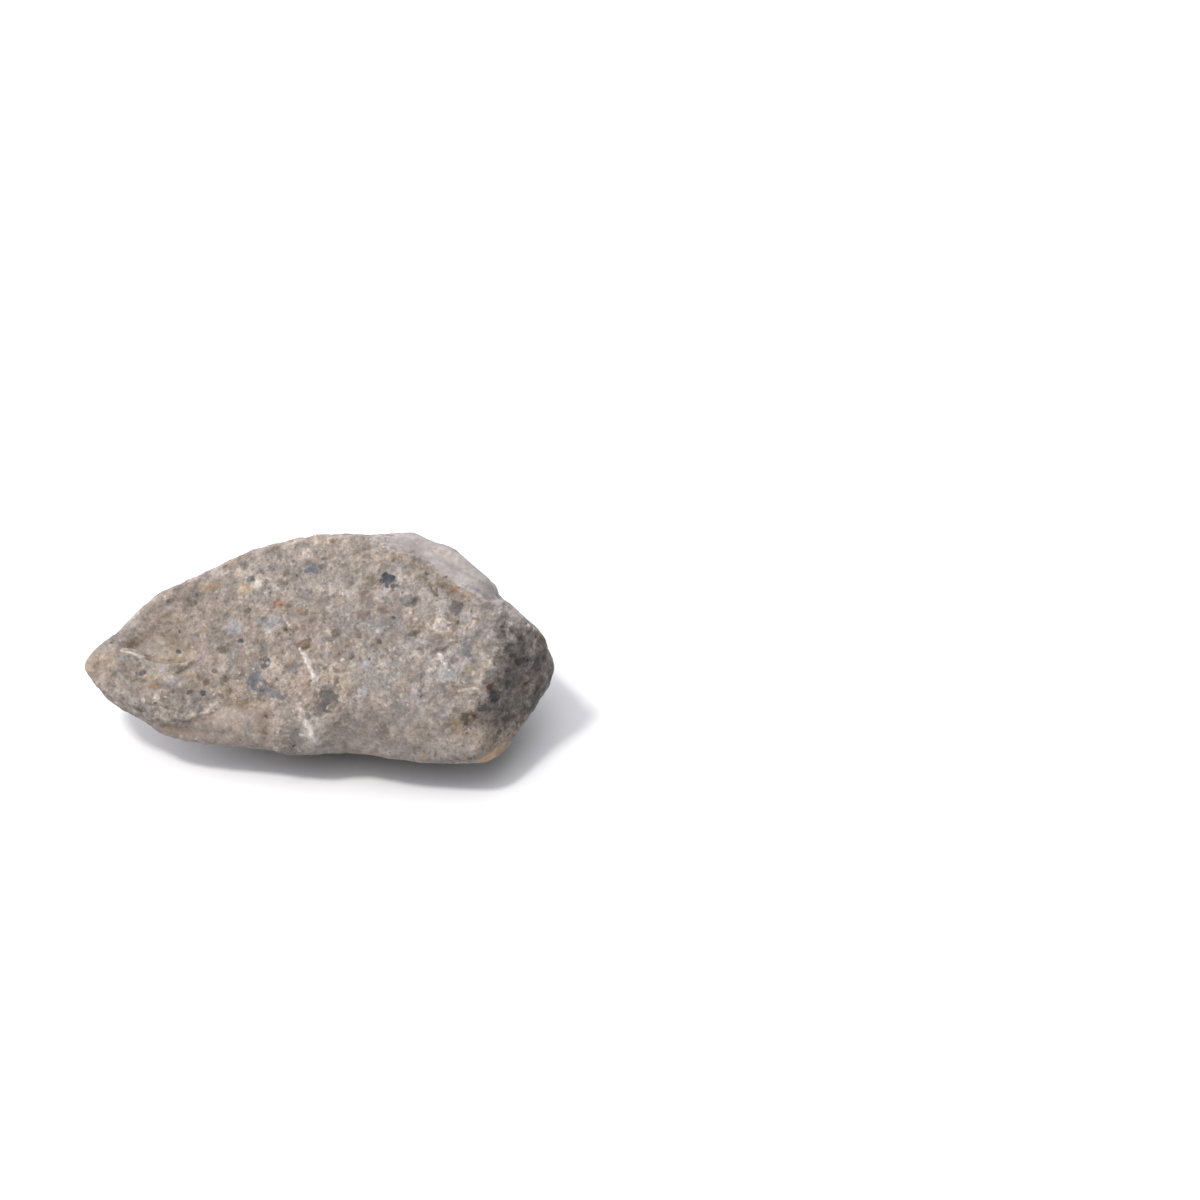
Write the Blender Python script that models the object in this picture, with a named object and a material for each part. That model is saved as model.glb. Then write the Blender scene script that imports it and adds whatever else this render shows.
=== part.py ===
"""Lunar meteorite: one small natural stone, 12 mm long, resting on a flat spot under its middle.

The stone is a blunt wedge with rounded edges. Its worn facets are given as planes around its heart, each with the
way it faces and its distance from the heart. Shallow hollows and low swellings are then pressed into the skin.
Millimetres in the tables, metres in the mesh. +X runs along the stone, -Y is its large front face, +Z is up.
"""

import math

import bmesh
import bpy
import numpy as np
from mathutils import Vector

MM = 0.001

# Height of the stone's heart over the surface it rests on, in millimetres.
HEART_HEIGHT = 2.3

# How tightly the facets meet: a higher number gives sharper edges.
EDGE_SHARPNESS = 28.0

# Facets: azimuth and elevation of the outward direction in degrees, and distance from the heart in millimetres.
# Azimuth 0 is the right end, -90 the front, 90 the back and 180 the left tip.
FACETS = {
    "front face": (-104, 54, 1.45),
    "front face, lower strip": (-97, 19, 2.42),
    "front edge of the right end": (-44, 14, 5.00),
    "top": (20, 80, 2.87),
    "right end": (-36, -2, 6.25),
    "right end, lower": (-14, -17, 6.00),
    "corner under the right end": (-38, -34, 5.32),
    "right shoulder": (22, 33, 4.80),
    "right shoulder, back": (36, 26, 4.20),
    "back, upper right": (60, 35, 3.68),
    "back, upper": (92, 36, 2.71),
    "back, upper left": (118, 30, 2.89),
    "left tip, back": (141, 27, 4.02),
    "left tip, end": (172, 10, 6.06),
    "left tip, lower": (-152, -20, 5.52),
    "left underside": (-129, -41, 3.99),
    "left underside, back": (170, -48, 4.30),
    "front underside": (-96, -49, 2.75),
    "right underside": (0, -45, 4.80),
    "back, middle": (99, 4, 3.10),
    "back, right of the middle": (70, -8, 3.55),
    "back, left": (150, -14, 5.30),
    "back, right": (35, -16, 5.00),
    "back underside": (104, -50, 2.90),
    "back underside, right": (58, -44, 3.40),
    "underside, left": (178, -66, 2.88),
    "underside, right": (0, -64, 3.60),
    "underside, front": (-95, -66, 2.58),
    "underside, back": (88, -68, 2.64),
    "base": (0, -90, 2.42),
}

# Hollows, and swellings where the depth is negative: azimuth, elevation, width and depth in millimetres.
HOLLOWS = {
    "scoop in the left tip": (-173, 9, 1.9, 0.20),
    "lip of the scoop": (-172, 3, 0.8, -0.06),
    "bevel under the left tip": (-146, -4, 1.7, 0.08),
    "bevel, right part": (-128, -7, 1.7, 0.09),
    "nick in the lower front edge": (-75, -19, 1.4, 0.17),
    "bump in the lower front edge": (-104, -25, 1.2, -0.07),
    "corner low on the right": (-46, -19, 0.9, -0.09),
    "dip in the front face": (-150, 47, 3.0, 0.07),
    "swell of the front face": (-62, 34, 2.6, -0.07),
    "dip under the top ridge": (-2, 55, 2.0, 0.07),
    "pit beside the right end": (-36, 0, 0.8, 0.10),
    "dent in the right end": (-20, -6, 2.0, 0.10),
    "bulge of the right tip": (-5, 9, 1.6, -0.10),
    "knob on the right shoulder": (3, 26, 1.2, -0.13),
    "knob behind the shoulder": (16, 31, 1.0, -0.09),
    "notch in the right shoulder": (-4, 23, 0.9, 0.22),
    "swell of the top edge": (55, 60, 2.2, -0.09),
    "dip in the upper edge, left": (127, 46, 1.0, 0.12),
    "nick under the left tip": (-157, -6, 1.1, 0.14),
    "dish in the top": (45, 66, 1.6, 0.10),
    "scoop in the back": (104, 2, 2.8, 0.24),
    "back, right dish": (62, -6, 2.2, 0.16),
    "back, left dish": (143, 6, 2.4, 0.18),
    "back, knuckle": (82, 12, 1.5, -0.12),
    "left underside dish": (-158, -33, 2.6, 0.20),
    "right underside dish": (18, -34, 2.4, 0.16),
}

# The sphere that the stone is pushed from is stretched first, which evens out its mesh.
SPHERE_SUBDIVISIONS = 5
STRETCH = (1.9, 1.2, 1.0)

STONE_COLOUR = (0.36, 0.32, 0.28, 1.0)
STONE_ROUGHNESS = 0.6


def clear_scene():
    """Empty the scene, so that the script gives the same result from any file."""
    for item in list(bpy.data.objects):
        bpy.data.objects.remove(item, do_unlink=True)


def direction(azimuth, elevation):
    """Unit vector that points out at an azimuth and an elevation in degrees."""
    turn = math.radians(azimuth)
    rise = math.radians(elevation)
    return np.array((math.cos(rise) * math.cos(turn), math.cos(rise) * math.sin(turn), math.sin(rise)))


def facet_reach(rays):
    """Distance from the heart to the skin along each ray, in millimetres, with the facets' edges rounded."""
    normals = np.array([direction(azimuth, elevation) for azimuth, elevation, _ in FACETS.values()])
    distances = np.array([distance for _, _, distance in FACETS.values()])
    closeness = np.maximum(rays @ normals.T, 0.0) / distances
    return 1.0 / np.sum(closeness ** EDGE_SHARPNESS, axis=1) ** (1.0 / EDGE_SHARPNESS)


def press_hollows(points):
    """Move the skin in at the hollows and out at the swellings, towards and away from the heart."""
    heart_rays = points / np.linalg.norm(points, axis=1)[:, None]
    shift = np.zeros(len(points))
    for azimuth, elevation, width, depth in HOLLOWS.values():
        ray = direction(azimuth, elevation)
        middle = ray * facet_reach(ray[None, :])[0]
        away = np.linalg.norm(points - middle, axis=1)
        shift += depth * np.exp(-(2.0 * away / width) ** 2)
    return points - heart_rays * shift[:, None]


def stone_mesh():
    """The stone's skin as one closed mesh, cut flat where it rests, with its origin under the middle of its box."""
    bm = bmesh.new()
    bmesh.ops.create_icosphere(bm, subdivisions=SPHERE_SUBDIVISIONS, radius=1.0)
    rays = np.array([vertex.co for vertex in bm.verts]) * STRETCH
    rays /= np.linalg.norm(rays, axis=1)[:, None]
    points = press_hollows(rays * facet_reach(rays)[:, None])
    points[:, 2] += HEART_HEIGHT
    for vertex, point in zip(bm.verts, points):
        vertex.co = point * MM
    cut_flat_base(bm)
    centre_footprint(bm)
    mesh = bpy.data.meshes.new("lunar_meteorite")
    bm.to_mesh(mesh)
    bm.free()
    return mesh


def cut_flat_base(bm):
    """Cut the stone off at the surface it rests on, and close the cut with one flat face."""
    everything = bm.verts[:] + bm.edges[:] + bm.faces[:]
    cut = bmesh.ops.bisect_plane(
        bm, geom=everything, dist=1e-6, plane_co=(0, 0, 0), plane_no=(0, 0, -1), clear_outer=True
    )
    rim = [item for item in cut["geom_cut"] if isinstance(item, bmesh.types.BMEdge)]
    bmesh.ops.contextual_create(bm, geom=rim)
    bmesh.ops.triangulate(bm, faces=bm.faces[:])
    bmesh.ops.recalc_face_normals(bm, faces=bm.faces[:])


def centre_footprint(bm):
    """Put the origin under the middle of the stone's box, so that the stone stands on z = 0."""
    points = np.array([vertex.co for vertex in bm.verts])
    middle = (points.min(axis=0) + points.max(axis=0)) / 2
    bmesh.ops.translate(bm, verts=bm.verts[:], vec=Vector((-middle[0], -middle[1], 0.0)))


def stone_material():
    """Pale grey-beige breccia with a dull, slightly rubbed skin."""
    material = bpy.data.materials.new("breccia")
    material.use_nodes = True
    shader = material.node_tree.nodes["Principled BSDF"]
    shader.inputs["Base Color"].default_value = STONE_COLOUR
    shader.inputs["Roughness"].default_value = STONE_ROUGHNESS
    shader.inputs["Metallic"].default_value = 0.0
    return material


def build():
    clear_scene()
    collection = bpy.data.collections.new("lunar_meteorite")
    bpy.context.scene.collection.children.link(collection)
    mesh = stone_mesh()
    mesh.materials.append(stone_material())
    collection.objects.link(bpy.data.objects.new("lunar_meteorite", mesh))


build()
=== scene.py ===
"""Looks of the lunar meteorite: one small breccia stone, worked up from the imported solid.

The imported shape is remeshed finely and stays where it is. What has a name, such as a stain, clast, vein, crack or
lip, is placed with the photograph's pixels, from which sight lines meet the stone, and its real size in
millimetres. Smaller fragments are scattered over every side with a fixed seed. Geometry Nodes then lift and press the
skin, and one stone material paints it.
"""

import math

import bmesh
import bpy
import numpy as np
from mathutils import Euler, Matrix, Vector
from mathutils.bvhtree import BVHTree


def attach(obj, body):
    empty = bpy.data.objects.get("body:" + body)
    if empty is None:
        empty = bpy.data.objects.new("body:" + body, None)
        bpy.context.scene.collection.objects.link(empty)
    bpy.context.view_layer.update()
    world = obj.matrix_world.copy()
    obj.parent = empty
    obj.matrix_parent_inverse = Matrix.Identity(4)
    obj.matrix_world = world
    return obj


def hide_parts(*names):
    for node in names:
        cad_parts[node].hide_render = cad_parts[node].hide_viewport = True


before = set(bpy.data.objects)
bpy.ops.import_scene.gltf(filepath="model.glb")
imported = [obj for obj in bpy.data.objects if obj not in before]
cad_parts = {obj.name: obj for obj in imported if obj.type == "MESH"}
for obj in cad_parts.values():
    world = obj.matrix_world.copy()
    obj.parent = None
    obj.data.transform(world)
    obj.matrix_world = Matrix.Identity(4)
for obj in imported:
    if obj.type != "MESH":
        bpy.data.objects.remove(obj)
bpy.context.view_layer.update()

MM = 0.001
NODE = "lunar_meteorite"

# The camera as it stood over the stone: its place in millimetres, its turn in degrees and its lens. At the stone a
# millimetre takes up PIXELS_PER_MM of the photograph.
PHOTO_SIDE = 1200
PIXELS_PER_MM = 38.6
CAMERA_PLACE = (9.008, -155.190, 143.399)
CAMERA_TURN = (48.0517, 0.6558, 0.0690)
LENS_LENGTH = 242.952
SENSOR_WIDTH = 36.0

# Spacing of the fine skin in millimetres, and how many rounds of smoothing take off the solid's facets.
SKIN_STEP = 0.051
SMOOTHING_ROUNDS = 10

# Stone colours, linear.
COLOURS = {
    "warm matrix": (0.233, 0.185, 0.147),
    "cool matrix": (0.187, 0.165, 0.151),
    "pale": (0.309, 0.272, 0.244),
    "cream": (0.376, 0.322, 0.267),
    "white": (0.502, 0.460, 0.418),
    "tan": (0.267, 0.204, 0.138),
    "tan brown": (0.188, 0.134, 0.088),
    "brown": (0.113, 0.075, 0.048),
    "rust": (0.167, 0.088, 0.047),
    "orange": (0.270, 0.165, 0.086),
    "olive": (0.096, 0.077, 0.051),
    "dark olive": (0.038, 0.030, 0.020),
    "slate": (0.109, 0.110, 0.119),
    "dark slate": (0.034, 0.037, 0.044),
    "light blue": (0.234, 0.239, 0.249),
    "purple grey": (0.084, 0.068, 0.065),
    "grey": (0.125, 0.109, 0.097),
    "dark grey": (0.086, 0.073, 0.065),
    # A pale grey that on the shoulder is partly painted sheen.
    "shoulder grey": (0.275, 0.250, 0.240),
    "pinkish": (0.251, 0.198, 0.176),
    "pink brown": (0.138, 0.103, 0.086),
    "honey": (0.400, 0.275, 0.170),
    "dark red": (0.075, 0.032, 0.022),
    "black": (0.014, 0.012, 0.011),
}

# Stains inside an outline of photograph pixels, and a few areas of painted shade and painted sheen: the outline,
# colour, strength and width of the soft rim in millimetres.
AREAS = {
    "warm left half": (
        ((84, 668), (150, 600), (240, 556), (275, 600), (300, 640), (275, 700), (222, 705), (150, 702), (98, 692)),
        "warm matrix", 0.85, 0.9,
    ),
    "warm upper face": (
        ((255, 550), (330, 537), (400, 545), (430, 565), (440, 585), (400, 600), (320, 592), (268, 582)),
        "pale", 0.6, 0.5,
    ),
    "pale upper left": (((215, 592), (245, 566), (300, 556), (320, 566), (300, 600), (255, 606), (225, 602)), "pale", 0.45, 0.4),
    "pale foot of the right side": (((400, 725), (440, 722), (480, 745), (480, 764), (400, 756), (300, 750), (300, 738)), "pale", 0.4, 0.3),
    "cool lower front": (
        ((285, 700), (330, 716), (400, 702), (445, 702), (470, 742), (478, 764), (300, 754), (278, 735)),
        "cool matrix", 0.7, 0.5,
    ),
    "cool middle": (((340, 640), (400, 625), (470, 640), (480, 690), (400, 705), (345, 690)), "cool matrix", 0.5, 0.7),
    # Partly the shoulder's own smooth grey skin and partly painted sheen, where the top catches the light at a glancing
    # angle.
    "pale shoulder with painted sheen": (
        ((372, 545), (389, 549), (421, 556), (437, 572), (481, 600), (500, 605), (522, 622), (540, 637), (553, 652),
         (560, 640), (540, 620), (506, 592), (500, 575), (470, 555), (435, 536), (405, 525), (375, 528)),
        "shoulder grey", 0.95, 0.10,
    ),
    # Partly brown rock and partly painted shade in the slight hollow under the ridge.
    "brown under the ridge, partly painted shade": (
        ((392, 553), (420, 562), (440, 577), (470, 594), (490, 603), (476, 606), (448, 596), (428, 588), (412, 574)),
        "tan brown", 0.75, 0.14,
    ),
    "floor of the scoop": (
        ((126, 646), (138, 634), (150, 629), (166, 631), (185, 640), (198, 652), (200, 661), (180, 663), (160, 662),
         (143, 654), (132, 650)),
        "tan", 0.8, 0.12,
    ),
    # Painted shade in the deep corner of the scoop, beside the lip.
    "painted shade in the deep corner of the scoop": (((122, 641), (134, 640), (143, 648), (152, 655), (142, 656), (128, 650)), "brown", 0.75, 0.1),
    "brown foot of the scoop": (((150, 656), (175, 656), (198, 655), (190, 662), (165, 664)), "tan brown", 0.5, 0.1),
    "bevel": (
        ((130, 714), (160, 726), (182, 722), (200, 717), (216, 711), (232, 706), (262, 708), (276, 720), (275, 747),
         (230, 752), (190, 750), (158, 740)),
        "pinkish", 0.7, 0.12,
    ),
    "tan end of the bevel": (((150, 722), (166, 728), (188, 727), (198, 734), (186, 743), (164, 738)), "tan brown", 0.40, 0.10),
    "grey band of the bevel": (((190, 729), (214, 722), (230, 724), (230, 738), (205, 742), (190, 738)), "shoulder grey", 0.30, 0.12),
    "pale foot of the bevel": (((180, 742), (215, 744), (250, 742), (252, 750), (215, 752), (182, 749)), "pale", 0.4, 0.1),
    # Painted shade: a dark band just under the edge over the bevel.
    "painted shade under the edge over the bevel": (((140, 722), (165, 730), (190, 728), (214, 722), (208, 736), (180, 740), (155, 735)), "tan brown", 0.25, 0.16),
    "pale bulge of the bevel": (((228, 712), (245, 708), (257, 716), (254, 732), (240, 738), (228, 730)), "cream", 0.4, 0.2),
    "brown stain over the bevel": (((262, 706), (272, 712), (275, 742), (264, 746), (258, 728)), "tan brown", 0.55, 0.12),
    "grey left of the slate triangle": (((262, 566), (300, 560), (330, 558), (325, 578), (300, 580), (268, 574)), "grey", 0.35, 0.2),
    "brown left of the dark clast": (((362, 574), (378, 571), (384, 584), (372, 590), (360, 584)), "tan brown", 0.5, 0.12),
    "brown over the grey row": (((352, 588), (384, 592), (392, 606), (376, 616), (356, 606)), "tan brown", 0.25, 0.2),
    "tan stain in the middle": (((326, 668), (346, 664), (352, 682), (346, 694), (330, 688)), "tan", 0.6, 0.2),
    "pale white fold": (((300, 706), (312, 712), (322, 730), (326, 745), (312, 746), (302, 734), (296, 720)), "white", 0.55, 0.14),
    "dark haze over the bevel": (
        ((150, 690), (185, 688), (215, 690), (236, 700), (215, 706), (190, 712), (165, 708)), "grey", 0.55, 0.25,
    ),
    "brown haze by the bevel stain": (((220, 688), (250, 688), (268, 702), (262, 712), (240, 708), (226, 702)), "tan brown", 0.7, 0.18),
    "warm patch under the scoop": (((128, 664), (170, 672), (200, 668), (212, 690), (170, 695), (130, 690)), "tan", 0.35, 0.3),
    "dark foot of the face": (((345, 700), (400, 705), (420, 715), (390, 728), (352, 725)), "grey", 0.40, 0.4),
    "light foot of the face": (((405, 725), (440, 728), (462, 742), (455, 756), (410, 748)), "pale", 0.3, 0.3),
    "olive left of the ridge": (((318, 535), (372, 540), (388, 552), (360, 562), (322, 556)), "tan", 0.3, 0.3),
    "cream band over the bevel": (
        ((152, 700), (178, 711), (200, 706), (222, 700), (228, 709), (204, 716), (182, 721), (158, 722)), "cream", 0.5, 0.15,
    ),
    "light strip along the foot": (
        ((300, 745), (345, 750), (400, 748), (450, 754), (480, 760), (480, 772), (400, 770), (300, 762)), "pale", 0.5, 0.2,
    ),
    "cream by the blue clast": (((270, 655), (284, 660), (290, 680), (280, 690), (272, 676)), "cream", 0.5, 0.15),
}

# Wide soft stains, and painted light along the top: pixel in the photograph, length and width in millimetres, turn in
# degrees, colour, strength, and the width of the soft rim in millimetres.
ZONES = {
    "tan left tip": (97, 666, 1.0, 0.9, 0, "tan", 0.7, 0.4),
    "grey under the left tip": (112, 694, 1.0, 0.5, -35, "grey", 0.3, 0.3),
    # Painted light: paler along the top, where the stone turns up to the overhead light.
    "painted light along the top": (370, 537, 3.2, 0.5, 0, "pale", 0.25, 0.4),
    "warm top edge": (295, 548, 1.8, 0.5, 12, "tan", 0.35, 0.3),
    "pale haze in the scoop": (160, 642, 1.0, 0.5, -10, "cream", 0.35, 0.3),
    "cool patch right of the middle": (450, 668, 1.0, 1.0, 0, "light blue", 0.3, 0.4),
    "blue haze in the middle": (375, 668, 1.2, 0.9, 0, "light blue", 0.25, 0.5),
    "orange corner": (492, 757, 1.05, 0.50, 28, "honey", 1.0, 0.14),
    "olive rim of the pit": (461, 724, 0.65, 1.0, 0, "tan brown", 0.8, 0.2),
    "brown smudge, upper middle": (290, 575, 0.9, 0.3, 15, "tan brown", 0.35, 0.2),
    "brown smudge under the rust clast": (300, 615, 0.7, 0.3, -20, "tan brown", 0.35, 0.2),
    "brown smudge, left": (150, 612, 1.0, 0.35, 30, "tan brown", 0.30, 0.2),
    "brown smudge over the scoop": (185, 617, 0.9, 0.3, 10, "tan brown", 0.30, 0.2),
    "grey smudge beside the scoop": (225, 648, 0.9, 0.4, -10, "grey", 0.40, 0.25),
    "pale smudge in the middle": (345, 600, 1.0, 0.6, 20, "cream", 0.35, 0.3),
    "pale smudge under the ridge": (440, 610, 1.8, 0.7, -30, "pale", 0.45, 0.4),
    "pale smudge on the right": (415, 650, 1.0, 0.5, -20, "cream", 0.30, 0.3),
    "brown smudge beside the group": (388, 640, 0.8, 0.5, 40, "tan brown", 0.35, 0.25),
    "brown smudge on the right": (462, 690, 0.9, 0.35, 20, "tan brown", 0.40, 0.2),
    "light foot of the right side": (462, 745, 1.3, 0.6, 5, "cream", 0.45, 0.3),
    "greenish foot of the end": (512, 735, 0.9, 1.0, 20, "tan", 0.5, 0.3),
    "yellow stain": (440, 681, 0.5, 0.3, 0, "cream", 0.4, 0.2),
    "tan streak, upper left": (205, 586, 0.75, 0.26, 18, "orange", 0.4, 0.16),
    "warm patch beside it": (243, 590, 0.5, 0.4, 0, "tan", 0.6, 0.2),
    "pale haze above the scoop": (250, 578, 1.0, 0.6, 20, "pale", 0.4, 0.4),
    "pale patch, right": (446, 626, 0.7, 0.7, 0, "cream", 0.35, 0.2),
    "dark haze right of the middle": (470, 690, 0.9, 0.8, 0, "grey", 0.4, 0.4),
    "brown haze, left": (185, 700, 1.3, 0.5, -20, "grey", 0.4, 0.3),
    "brown haze over the bevel": (228, 694, 0.9, 0.7, 0, "tan brown", 0.3, 0.3),
}

# Where the stone is painted darker, in places as painted shade: outline, how much of the light it takes away and the
# soft rim in millimetres.
TONES_AND_SHADE = {
    # Painted shade where the right end turns away from the key light, together with rock that is darker there.
    "dark right end, partly painted shade": (
        ((502, 616), (520, 630), (538, 644), (550, 658), (562, 672), (556, 700), (536, 726), (515, 731), (497, 724),
         (485, 716), (482, 700), (488, 678), (498, 650), (495, 630)),
        0.44, 0.50,
    ),
    # Its outer edge is darker still: painted shade and darker rock, as above.
    "right end, outer edge, partly painted shade": (((530, 640), (556, 650), (564, 672), (548, 712), (540, 720), (530, 710), (536, 690)), 0.25, 0.35),
    # Painted shade in a band below the top ridge, where the ridge shades the face.
    "painted shade below the top ridge": (
        ((392, 554), (421, 561), (436, 577), (462, 594), (486, 605), (480, 612), (450, 600), (424, 584), (396, 566)),
        0.16, 0.14,
    ),
    "left of the middle": (((150, 690), (215, 660), (262, 640), (262, 700), (215, 706), (160, 708)), 0.12, 0.5),
    "left face": (((84, 668), (150, 600), (200, 575), (235, 590), (222, 640), (180, 680), (110, 695)), 0.12, 0.7),
    "left of the bevel": (((125, 700), (150, 700), (176, 708), (190, 716), (160, 724), (132, 712)), 0.28, 0.25),
    # Painted shade under the ridge.
    "under the ridge": (((480, 604), (505, 612), (512, 632), (495, 640), (478, 620)), 0.2, 0.3),
}

# Calm smooth skin: outline, how calm it is and the soft rim in millimetres.
CALM = {
    "bevel": (
        ((130, 714), (160, 726), (182, 722), (200, 717), (216, 711), (232, 706), (262, 708), (272, 720), (272, 747),
         (230, 754), (190, 752), (156, 742)),
        0.55, 0.12,
    ),
    "shoulder": (
        ((385, 543), (421, 554), (437, 570), (481, 598), (500, 602), (522, 619), (545, 640), (560, 640), (540, 615),
         (506, 590), (500, 570), (470, 552), (435, 534), (405, 524)),
        0.85, 0.12,
    ),
    "floor of the scoop": (((130, 646), (150, 630), (185, 640), (198, 655), (165, 660), (143, 653)), 0.6, 0.15),
    "lower front": (((285, 712), (330, 722), (400, 706), (446, 704), (466, 742), (478, 766), (300, 758)), 0.40, 0.4),
    "left face": (((96, 660), (150, 604), (205, 580), (225, 640), (215, 690), (130, 700)), 0.20, 0.5),
    "honey corner": (((474, 754), (492, 748), (508, 744), (514, 756), (495, 768), (474, 768)), 0.7, 0.12),
    "left tip": (((84, 668), (96, 650), (112, 645), (118, 665), (108, 690), (94, 686)), 0.5, 0.2),
}

# Dents, and swellings where the depth is less than nothing: pixel, length, width, turn and depth, in millimetres.
DENTS = {
    "scoop": (160, 645, 2.0, 0.80, -14, 0.20),
    "deep corner of the scoop": (132, 645, 0.60, 0.36, -25, 0.12),
    "second hollow of the scoop": (185, 652, 0.8, 0.5, -10, 0.06),
    "hollow of the bevel": (183, 733, 2.0, 0.42, -6, 0.08),
    "bulge of the bevel": (242, 722, 0.9, 0.8, 0, -0.05),
    "groove beside the bulge": (267, 724, 0.30, 1.2, 0, 0.05),
    "pit": (467, 724, 0.60, 0.70, 0, 0.07),
    "wall of the pit": (478, 716, 0.7, 0.6, 0, 0.05),
    "notch of the outline": (502, 598, 0.42, 0.42, 0, 0.15),
    "long dent on the shoulder": (455, 563, 1.6, 0.36, -32, 0.08),
    "knob on the shoulder": (493, 584, 0.65, 0.5, -42, -0.17),
    "peak of the top edge": (409, 532, 1.0, 0.8, 0, -0.18),
    "bump of the top edge": (455, 551, 0.9, 0.6, -25, -0.15),
    "swell of the left tip": (88, 668, 0.9, 0.9, 0, -0.12),
    "swell of the upper left edge": (165, 588, 1.0, 0.7, 35, -0.10),
    "second swell of the upper left edge": (212, 565, 0.8, 0.6, 25, -0.06),
    "hollow left of the big clast": (292, 690, 0.9, 0.8, 20, 0.04),
    "hollow on the right": (455, 655, 1.3, 0.9, 0, 0.04),
    "hollow under the ridge": (440, 590, 1.8, 0.6, -30, 0.05),
    "hollow of the big clast": (326, 698, 0.8, 0.7, 0, 0.03),
    "swell beside the vein": (300, 665, 0.7, 1.0, 20, -0.04),
    "swell of the ringed clast": (443, 627, 0.7, 0.7, 0, -0.03),
    "dip, upper left": (205, 600, 1.4, 0.8, 25, 0.05),
    "dip in the lower front": (345, 735, 1.0, 0.7, 0, 0.06),
    "swell in the lower front": (405, 735, 1.6, 0.8, 0, -0.05),
    "dent in the dark end": (520, 690, 0.9, 1.4, -20, 0.06),
}

# Folds of the skin along a row of pixels from left to right: how far the skin stands up above the fold and how wide
# that rise is, then how far it sinks below the fold and how wide that is, in millimetres.
FOLDS = {
    "edge over the bevel": (
        ((128, 712), (145, 721), (160, 726), (181, 722), (200, 716), (213, 712), (222, 706)), 0.03, 0.26, 0.06, 0.34,
    ),
    "lip of the scoop": (
        ((119, 648), (126, 650), (137, 653), (147, 659), (160, 664), (178, 664), (196, 658), (206, 652)), -0.04, 0.30, -0.10, 0.16,
    ),
    "top ridge": (
        ((384, 549), (400, 552), (421, 557), (437, 573), (460, 588), (481, 601), (498, 605), (522, 623), (540, 639)),
        -0.01, 0.35, -0.06, 0.16,
    ),
    "right part of the top ridge": (
        ((492, 602), (508, 612), (522, 624), (536, 638), (546, 650)), 0.13, 0.40, 0.02, 0.15,
    ),
    "edge of the dark end": (((486, 742), (477, 712), (481, 690), (491, 668), (508, 637)), 0.03, 0.2, -0.0, 0.2),
    "rim over the pit": (((450, 698), (462, 692), (475, 691), (486, 696), (492, 705)), 0.035, 0.12, 0.05, 0.18),
    "fold in the lower front": (((322, 748), (316, 733), (309, 719), (302, 704)), 0.045, 0.16, 0.05, 0.2),
    "upper shoulder edge": (((408, 536), (430, 546), (452, 556), (470, 567), (482, 577)), 0.03, 0.12, 0.03, 0.15),
    "crack from the tip": (((169, 677), (178, 673), (187, 667), (196, 661), (205, 654)), 0.0, 0.1, 0.025, 0.07),
    "step beside the vein": (((318, 690), (314, 672), (303, 652)), 0.03, 0.12, 0.02, 0.15),
    "step on the right": (((430, 650), (443, 650), (455, 640), (469, 638)), 0.02, 0.1, 0.03, 0.14),
    "fold under the left tip": (((92, 684), (108, 697), (128, 706), (150, 712)), 0.03, 0.2, 0.05, 0.2),
}

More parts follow.
